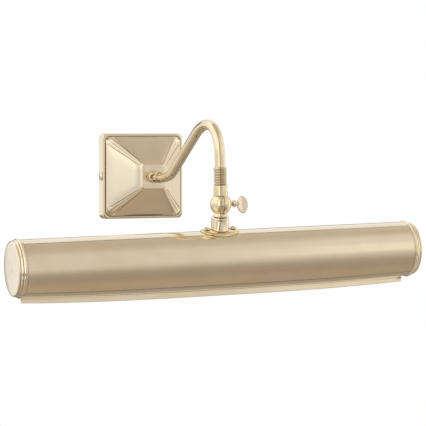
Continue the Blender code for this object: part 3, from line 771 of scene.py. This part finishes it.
def knuckle():
    ferrule = [(4.0, 9.0), (8.25, 9.0), (8.25, 21.7), (8.0, 22.2), (ARM_RADIUS + GAP, 22.2),
               (ARM_RADIUS + GAP, 15.9), (4.0, 15.9)]
    knuckle_half("upper_knuckle", soften(ferrule, 0.4, 3, closed=True), 1, KNUCKLE)
    neck = [(3.3, -43.0), (5.0, -43.0), (5.0, -15.2), (7.9, -15.0), (8.5, -14.5), (8.5, -13.4), (7.9, -12.9),
            (7.1, -11.6), (6.9, -10.2), (7.2, -8.8), (3.3, -8.8)]
    knuckle_half("lower_knuckle", soften(neck, 0.5, 3, closed=True), -1, SHADE)
    half = SEAM / 2
    washer = lathe(soften([(2.5, -half), (8.0, -half), (8.0, half), (2.5, half)], 0.05, 2, closed=True), 48,
                   closed=True)
    add("friction_washer", washer, SHADE @ at(ry=90), [FIBRE])


def paddle():
    """A dished oval thumb piece in the XZ plane, drawn in towards the shank at its left."""
    rings = []
    layers = [(0.05, 0.85), (0.35, 0.88), (0.62, 1.0), (0.78, 1.25), (0.87, 1.42), (0.94, 1.3),
              (0.985, 0.8), (1.0, 0.0)]
    for share, half_thick in layers + [(s, -h) for s, h in layers[-2::-1]]:
        ring = []
        for k in range(56):
            a = math.tau * k / 56
            pinch = 1 - 0.22 * max(0.0, -math.cos(a)) ** 2
            ring.append(Vector((7.0 * share * math.cos(a), -half_thick, 10.5 * share * math.sin(a) * pinch)))
        rings.append(ring)
    bm = skin(rings, caps=True)
    bmesh.ops.recalc_face_normals(bm, faces=bm.faces)
    return bm


def thumb_screw():
    bead = [(4.4 * p.x, 16.9 + 2.9 * p.y) for p in arc(0, 0, 1, -64, 64, 14)]
    profile = [(0, -7.5), (1.6, -7.5), (2.0, -6.9), (2.0, 13.6), (1.7, 14.1)] + bead
    profile += [(1.8, 20.0), (1.7, 21.0), (2.2, 22.5), (1.2, 24.5), (0, 24.6)]
    shaft = lathe(profile, 48)
    shape = carve(shaft, [(paddle(), moved(x=PADDLE_DROP, z=27.0, ry=-90))], "UNION")
    add("thumb_screw", shape, KNUCKLE @ at(rx=THUMB_TURN) @ at(ry=90), [THUMB_BRASS],
        sharp=40)


# ---------------------------------------------------------------- shade

def tube_columns(half):
    """Places along the tube: close together at its ends, where the lip's corners turn."""
    near = [0.0, 0.5, 1.0, 1.6, 2.3, 3.2, 4.5]
    middle = 44
    inner = half - 8.0
    xs = [-half + d for d in near] + [-inner + 2 * inner * i / middle for i in range(middle + 1)]
    return xs + [half - d for d in near[::-1]]


def lip_points(x, half, edge):
    """The lip under the tube's free edge at x: crease, leaning face with rounded ends, and hem."""
    lip_half = half - LIP_CLEAR
    lip_x = x * lip_half / half
    inset = lip_half - abs(lip_x)
    corner = 1.6
    lift = corner - math.sqrt(max(corner ** 2 - max(corner - inset, 0.0) ** 2, 0.0))
    foot = LIP_DROP - lift
    points = [Vector((lip_x, edge.y + 0.25, edge.z - 0.4))]
    for share in (0.0, 0.2, 0.45, 0.7, 1.0):
        drop = 1 + (foot - 1.8) * share
        lean = LIP_LEAN * (drop - 1) / (LIP_DROP - 1)
        points.append(Vector((lip_x, edge.y + 0.3 - lean, edge.z - drop)))
    points.append(Vector((lip_x, points[-1].y + 0.05, edge.z - foot + 0.2)))
    points.append(Vector((lip_x, points[-1].y + 0.55, edge.z - foot)))
    return points


def tube_row(x, half):
    """One section of the shade at x: rear hem, rolled tube, then the lip."""
    around = 72
    span = 360 + OPENING_FRONT - OPENING_BACK
    bow = BOW * (1 - abs(x / half) ** 3)
    row = []
    hem = arc(0, 0, 1.5, OPENING_BACK + 200, OPENING_BACK, 6)
    rear = Vector((math.cos(math.radians(OPENING_BACK)),
                   math.sin(math.radians(OPENING_BACK)))) * (SHADE_RADIUS - 1.5)
    tangent = Vector((rear.y, -rear.x)).normalized() * 0.2
    row += [Vector((x, *(rear + p + tangent))) for p in hem[:-1]]
    for i in range(around + 1):
        t = i / around
        a = math.radians(OPENING_BACK + span * t)
        share = min(max((math.degrees(a) - 180) / (360 + OPENING_FRONT - 180), 0.0), 1.0)
        row.append(Vector((x, SHADE_RADIUS * math.cos(a), SHADE_RADIUS * math.sin(a) - bow * share ** 1.5)))
    return row + lip_points(x, half, row[-1])


def shade_tube():
    half = SHADE_LENGTH / 2 - CAP_DEPTH - GAP
    bm = bmesh.new()
    rows = [[bm.verts.new(p) for p in tube_row(x, half)] for x in tube_columns(half)]
    for left, right in zip(rows, rows[1:]):
        for j in range(len(left) - 1):
            bm.faces.new((left[j], left[j + 1], right[j + 1], right[j]))
    top = max(bm.faces, key=lambda f: f.calc_center_median().z)
    top.normal_update()
    if top.normal.z < 0:
        bmesh.ops.reverse_faces(bm, faces=bm.faces)
    add("shade_tube", thicken(bm, VISIBLE_SHEET), TUBE, [ROLLED_BRASS, INNER_BRASS], sharp=50)


def end_cap(node, side):
    """A spun cap: faintly crowned face, three stepped beads, and a spigot inside the tube."""
    spigot = SHADE_RADIUS - 1.0 - GAP
    end = SHADE_LENGTH / 2
    face = [(0, 0), (10, 0.02), (22, 0.08), (29.5, 0.2)]
    beads = [(31.0, 0.3), (31.7, 0.9), (32.0, 1.8), (31.0, 2.5), (31.2, 2.8), (31.9, 3.1), (33.1, 5.0),
             (32.2, 5.4), (32.5, 5.7), (33.5, 6.1), (34.4, 7.7), (34.1, 8.9), (32.9, 9.4), (33.3, 9.8),
             (33.3, CAP_DEPTH), (spigot, CAP_DEPTH), (spigot, 18.0), (spigot - 1.2, 18.0),
             (spigot - 1.2, 1.9), (spigot - 2.4, 1.4), (0, 1.4)]
    profile = soften(face + beads, 0.45, 4)
    add(node, lathe([(p.x, end - p.y) for p in profile], ROUND), TUBE @ at(ry=90 * side), [CAP_BRASS],
        sharp=32)


def on_tube(x, y, lift):
    """A point on the tube's top, lifted off its surface."""
    radius = SHADE_RADIUS + lift
    return Vector((x, y, math.sqrt(radius * radius - y * y)))


def saddle_flange():
    """An oval plate that hugs the tube, with a moulded edge."""
    layers = [(1.0, 0.3), (1.0, 0.75), (0.99, 1.15), (0.965, 1.4), (0.93, 1.5), (0.915, 1.75), (0.89, 2.15),
              (0.85, SADDLE_RISE), (0.5, SADDLE_RISE), (0.25, SADDLE_RISE), (0.25, 0.3)]
    rings = []
    for share, lift in layers:
        angles = [math.tau * k / ROUND for k in range(ROUND)]
        rings.append([on_tube(24 * share * math.cos(a), 15.5 * share * math.sin(a), lift) for a in angles])
    add("saddle_flange", skin(rings, closed=True), TUBE, [SADDLE_BRASS], sharp=50)


def lower_collar():
    """A plain sleeve whose foot follows the saddle."""
    top = KNUCKLE_TO_TUBE - 15.4
    foot = SHADE_RADIUS + 2.6
    angles = [math.tau * k / FINE for k in range(FINE)]

    def ring(radius, z=None, lift=0.0):
        points = []
        for a in angles:
            height = math.sqrt(foot ** 2 - (radius * math.sin(a)) ** 2) + lift if z is None else z
            points.append(Vector((radius * math.cos(a), radius * math.sin(a), height)))
        return points

    rings = [ring(5.4), ring(10.7), ring(10.9, lift=0.5), ring(10.8, lift=1.1), ring(10.4, lift=1.5),
             ring(10.4, top - 1.5), ring(10.4, top - 0.6), ring(10.15, top - 0.15), ring(9.7, top),
             ring(9.0, top - 0.1), ring(5.4, top - 0.1)]
    add("lower_collar", skin(rings, closed=True), TUBE, [SLEEVE_BRASS], sharp=40)


def saddle_screws():
    for word, side in (("left", -1), ("right", 1)):
        place = TUBE @ at(side * SADDLE_SCREW_X, 0, SHADE_RADIUS + SADDLE_RISE + GAP, rz=35)
        add(f"saddle_screw_{word}", screw(4.1, 2.6, 1.5, 8.6, 1.0), place, [TURNED_BRASS])


def lamp_carrier():
    """The bent channel that hangs from the stud and holds both lampholders."""
    top = 30.4
    strip = [(-LEG_X, -9), (-LEG_X, top), (LEG_X, top), (LEG_X, -9), (LEG_X - SHEET, -9),
             (LEG_X - SHEET, top - SHEET), (SHEET - LEG_X, top - SHEET), (SHEET - LEG_X, -9)]
    channel = prism(soften(strip, 1.4, 3, closed=True), -8, 8)
    tools = [(cylinder(5.4, -5, 5), moved(y=top, rx=90))]
    for side in (-1, 1):
        tools.append((cylinder(STEM_HOLE, -5, 5), moved(x=side * LEG_X, ry=90)))
        tools.append((cylinder(1.9, -5, 5), moved(x=side * SADDLE_SCREW_X, y=top, rx=90)))
    add("lampholder_bracket", bevelled(carve(channel, tools), 0.2, 1), TUBE @ at(rx=90), [STEEL])
    add("stud_nut", nut(14, STEM_HOLE, 4.0), TUBE @ at(z=top - SHEET - GAP - 4.0), [STEEL])


def lampholder(word, side):
    """A moulded holder: waisted shoulder, grip ribs and a threaded mouth."""
    back = LEG_X + GAP
    mouth = back + HOLDER_LENGTH
    outer = [(5.0, back - 5.5), (5.0, back), (9.0, back), (10.2, back + 1.5), (12.2, back + 6),
             (12.2, back + 10)]
    for i in range(5):
        z = back + 11 + i * 3.0
        outer += [(12.2, z), (12.7, z + 0.5), (12.7, z + 1.6), (12.2, z + 2.1)]
    outer += [(12.2, mouth - 8), (13.0, mouth - 7), (13.0, mouth - 0.6), (12.5, mouth)]
    inner = [(7.7, mouth), (7.7, mouth - 25), (2.7, mouth - 25), (2.7, back - 5.5)]
    holder = lathe(soften(outer + inner, 0.4, 3, closed=True), closed=True)
    add(f"lampholder_{word}", holder, TUBE @ at(ry=90 * side), [PHENOLIC])
    place = TUBE @ at(x=side * (LEG_X - SHEET - GAP - 2.6), ry=90 * side)
    add(f"lampholder_nut_{word}", nut(14, STEM_HOLE, 2.6), place, [STEEL])


def lamp(word, side):
    """A clear tubular lamp: screw cap, blown glass, stem and a zigzag filament."""
    contact = LEG_X + GAP + HOLDER_LENGTH - 24
    place = TUBE @ at(ry=90 * side)
    cap = [(0, contact), (2.4, contact), (2.8, contact + 0.8), (6.0, contact + 3.2)]
    for i in range(7):
        z = contact + 4.0 + i * 2.8
        cap += [(6.35, z), (6.9, z + 1.4)]
    cap += [(6.35, contact + 23.6), (6.9, contact + 24.2), (6.9, contact + 25), (0, contact + 25)]
    add(f"lamp_cap_{word}", lathe(soften(cap, 0.8, 3)), place, [NICKEL], sharp=50)

    neck = contact + 25 + GAP
    tip = contact + LAMP_LENGTH
    round_end = [tuple(p) for p in arc(0, tip - LAMP_RADIUS, LAMP_RADIUS, 0, 90, 16)]
    skin_line = [(0, neck), (6.9, neck), (7.1, neck + 1), (8.2, neck + 3), (LAMP_RADIUS, neck + 9)]
    outer = soften(skin_line, 1.5, 5)[:-1] + [Vector(p) for p in round_end]
    inner = [Vector((max(p.x - 0.6, 0.0), p.y + (0.8 if p.y < neck + 5 else -0.6))) for p in outer]
    inner = [p for p in inner if p.x > 0.0]
    glass = lathe(outer + [Vector((0, tip - 0.6))] + inner[::-1] + [Vector((0, neck + 0.8))])
    add(f"lamp_glass_{word}", glass, place, [GLASS], sharp=60)

    node = f"lamp_glass_{word}"
    stem = soften([(0, neck + 0.9), (4.6, neck + 0.9), (3.0, neck + 8), (2.0, neck + 16), (1.4, neck + 50),
                   (1.8, neck + 52), (0, neck + 53)], 1.5, 4)
    add(node, lathe(stem, 32), place, [GLASS], f"lamp_stem_{word}", stands_for=False)
    turns = 6
    zigzag = [Vector((5.5 * math.cos(math.pi * i / turns * 2), 5.5 * math.sin(math.pi * i / turns * 2),
                      neck + (24 if i % 2 else 66))) for i in range(turns + 1)]
    wire = skin(rings_along(smooth_route(zigzag, 12), 0.16, 8), caps=True)
    add(node, wire, place, [WIRE], f"lamp_filament_{word}", stands_for=False)


def lamp_lead(word, side):
    start_z = KNUCKLE_TO_TUBE - 36
    route = smooth_route([(side * 1.6, 0, start_z), (side * 1.6, 0, 22), (side * 7, 0, 10),
                          (side * 18, 0, 3), (side * 28, 0, 0.3), (side * 33, 0, 0),
                          (side * (LEG_X + GAP + 8), 0, 0)], 8)
    add(f"lamp_lead_{word}", skin(rings_along(route, 1.25, 16), caps=True), TUBE, [SHEATH])


def shade():
    shade_tube()
    end_cap("end_cap_left", -1)
    end_cap("end_cap_right", 1)
    saddle_flange()
    lower_collar()
    saddle_screws()
    lamp_carrier()
    for word, side in (("left", -1), ("right", 1)):
        lampholder(word, side)
        lamp(word, side)
        lamp_lead(word, side)


# ---------------------------------------------------------------- studio

def towards(azimuth, elevation):
    """A direction: azimuth from -Y towards +X, elevation above the horizon, in degrees."""
    a, e = math.radians(azimuth), math.radians(elevation)
    return Vector((math.sin(a) * math.cos(e), -math.cos(a) * math.cos(e), math.sin(e)))


WHITE = (1.0, 1.0, 0.99)
WARM = (1.0, 0.97, 0.93)
DUSK = (1.0, 0.88, 0.74)
# Tone of the bare room at each elevation in degrees
ROOM_TONES = [
    (-90, (0.48, 0.40, 0.31)), (-50, (0.385, 0.335, 0.285)), (-35, (0.40, 0.36, 0.315)),
    (-24, (0.47, 0.435, 0.395)), (-12, (0.62, 0.60, 0.56)), (-3, (0.70, 0.68, 0.65)),
    (45, (0.72, 0.68, 0.63)), (70, (0.57, 0.52, 0.455)), (90, (0.55, 0.50, 0.44)),
]
# Panels of the studio, in degrees: centre as azimuth and elevation, half-width and half-height, softness of
# the upright and of the level edges; then colour and strength. Later panels stand in front of earlier ones.
PANELS = [
    ((150, -20), (48, 10), (9, 3), DUSK, 0.28),          # dark ground behind the light
    ((180, 26), (75, 35), (9, 3), WHITE, 0.96),          # white backdrop above it
    ((180, 63.5), (75, 2.5), (9, 1), DUSK, 0.30),        # its dark upper edge
    ((168, 1), (25, 13), (3, 4), DUSK, 0.10),            # dark doorway in the backdrop
    ((168, -60), (24, 1.6), (6, 1), DUSK, 0.10),         # edge of the table behind
    ((-107, -8), (44, 40), (6, 14), WHITE, 0.72),        # large panel at the left, dimmer low down
    ((-107, 35), (44, 31), (6, 16), WHITE, 1.20),
    ((-140, -38), (28, 2.5), (6, 1.5), DUSK, 0.22),      # its foot
    ((-61, 0), (5, 50), (2.5, 10), WHITE, 0.72),         # gap beside it
    ((-43, 5), (13, 35), (4, 10), WHITE, 1.35),          # window in front, at the left
    ((100, 5), (32, 45), (14, 14), (1.0, 0.96, 0.89), 0.85),      # pale side wall at the right
    ((86, 5), (8, 30), (3, 10), WHITE, 1.30),            # window in it
    ((-21.6, 14), (6, 26), (3, 6), DUSK, 0.20),          # the dark gap where the camera stands
    ((-21, -21), (28, 6), (6, 3), DUSK, 0.28),           # and the dark ground in front of it
]
# Soft boxes hung along X in front, at the right: centre as angle from the YZ plane and tilt above level
SOFT_BOXES = [
    ((39, 44), (15, 24), (3.5, 18), WARM, 0.85),
    ((39, 17), (15, 17), (3.5, 9), WARM, 1.02),
]


def panel_mask(nodes, direction, forward, sideways_axis, upward_axis, offset, half_size, soft):
    """1 inside a rectangle of directions around forward, easing to 0 at its edges."""
    ahead = nodes.dot(direction, forward)
    sideways = nodes.dot(direction, sideways_axis)
    above = nodes.dot(direction, upward_axis)
    turn = nodes.math("ABSOLUTE", nodes.math("ARCTAN2", sideways, ahead))
    rise = nodes.math("ABSOLUTE", nodes.math("SUBTRACT", nodes.math("ARCSINE", above), math.radians(offset)))
    masks = []
    for angle, half, edge in zip((turn, rise), half_size, soft):
        masks.append(nodes.step(angle, math.radians(half - edge), math.radians(half + edge), 1.0, 0.0))
    return nodes.math("MULTIPLY", *masks)


def upright_mask(nodes, direction, centre, half_size, soft):
    """A panel with upright sides."""
    forward = towards(*centre)
    right = forward.cross(Vector((0, 0, 1))).normalized()
    return panel_mask(nodes, direction, forward, right, right.cross(forward), 0, half_size, soft)


def hung_mask(nodes, direction, centre, half_size, soft):
    """A panel whose long edges run along X."""
    forward = towards(0, centre[1])
    across = Vector((1, 0, 0))
    return panel_mask(nodes, direction, forward, across.cross(forward), across, centre[0],
                      half_size[::-1], soft[::-1])


def studio_world():
    """Pure white to the camera; a soft room with panels to everything else."""
    world = bpy.data.worlds.new("studio")
    bpy.context.scene.world = world
    world.use_nodes = True
    nodes = Nodes(world.node_tree)
    world.node_tree.nodes.clear()
    direction = nodes.node("ShaderNodeTexCoord").outputs["Generated"]
    height = nodes.step(nodes.dot(direction, (0, 0, 1)), -1.0, 1.0)
    height.node.interpolation_type = "LINEAR"
    ramp = nodes.node("ShaderNodeValToRGB")
    nodes.feed(ramp.inputs[0], height)
    while len(ramp.color_ramp.elements) < len(ROOM_TONES):
        ramp.color_ramp.elements.new(0.5)
    for element, (elevation, colour) in zip(ramp.color_ramp.elements, ROOM_TONES):
        element.position = (math.sin(math.radians(elevation)) + 1) / 2
        element.color = (*colour, 1.0)
    light = ramp.outputs[0]
    for shape, panels in ((hung_mask, SOFT_BOXES), (upright_mask, PANELS)):
        for centre, half_size, soft, colour, strength in panels:
            mask = shape(nodes, direction, centre, half_size, soft)
            light = nodes.mix(mask, light, [strength * c for c in colour])
    seen = nodes.node("ShaderNodeLightPath").outputs["Is Camera Ray"]
    background = nodes.node("ShaderNodeBackground")
    nodes.feed(background.inputs["Color"], nodes.mix(seen, light, (1.0, 1.0, 1.0)))
    output = nodes.node("ShaderNodeOutputWorld")
    nodes.feed(output.inputs["Surface"], background.outputs[0])


def floor():
    """A pale round floor that fades into the white room; mirrors don't see it."""
    radius, below = 3.4, -0.95
    bm = bmesh.new()
    bmesh.ops.create_grid(bm, x_segments=24, y_segments=24, size=radius)
    mesh = bpy.data.meshes.new("floor")
    bm.to_mesh(mesh)
    bm.free()
    obj = bpy.data.objects.new("floor", mesh)
    bpy.context.scene.collection.objects.link(obj)
    obj.location = (0, -0.15, below)
    mat = bpy.data.materials.new("floor_paint")
    mat.use_nodes = True
    nodes = Nodes(mat.node_tree)
    shader = mat.node_tree.nodes["Principled BSDF"].inputs
    nodes.feed(shader["Base Color"], nodes.mix(nodes.noise(3.0, 4.0), (0.86, 0.86, 0.85),
                                               (0.89, 0.89, 0.88)))
    shader["Roughness"].default_value = 0.7
    shader["Emission Color"].default_value = (1.0, 1.0, 1.0, 1.0)
    shader["Emission Strength"].default_value = 0.34
    reach = nodes.node("ShaderNodeVectorMath", operation="LENGTH")
    nodes.feed(reach.inputs[0], nodes.coords((1, 1, 1)))
    nodes.feed(shader["Alpha"], nodes.step(reach.outputs["Value"], radius * 0.35, radius * 0.98, 1.0, 0.0))
    mesh.materials.append(mat)
    obj.visible_glossy = False


CAMERA_PLACE = (-0.8843, -2.4929, 0.0710)
CAMERA_YAW, CAMERA_PITCH = 21.626, -2.593
CAMERA_LENS = 171.03


def camera():
    """The camera stands about 2.6 m off, to the left of the light and just above its middle."""
    data = bpy.data.cameras.new("camera")
    data.lens = CAMERA_LENS
    data.sensor_width = 36.0
    obj = bpy.data.objects.new("camera", data)
    bpy.context.scene.collection.objects.link(obj)
    obj.location = CAMERA_PLACE
    yaw, pitch = math.radians(CAMERA_YAW), math.radians(CAMERA_PITCH)
    look = Vector((math.sin(yaw) * math.cos(pitch), math.cos(yaw) * math.cos(pitch), math.sin(pitch)))
    obj.rotation_mode = "QUATERNION"
    obj.rotation_quaternion = look.to_track_quat("-Z", "Y")
    bpy.context.scene.camera = obj


def build():
    wall_bracket()
    backplate()
    terminal_block()
    canopy_fittings()
    canopy_lead()
    arm_pieces()
    ribbed_collar()
    knuckle()
    thumb_screw()
    shade()
    floor()
    studio_world()
    camera()
    bpy.context.scene.view_settings.view_transform = "Standard"


build()
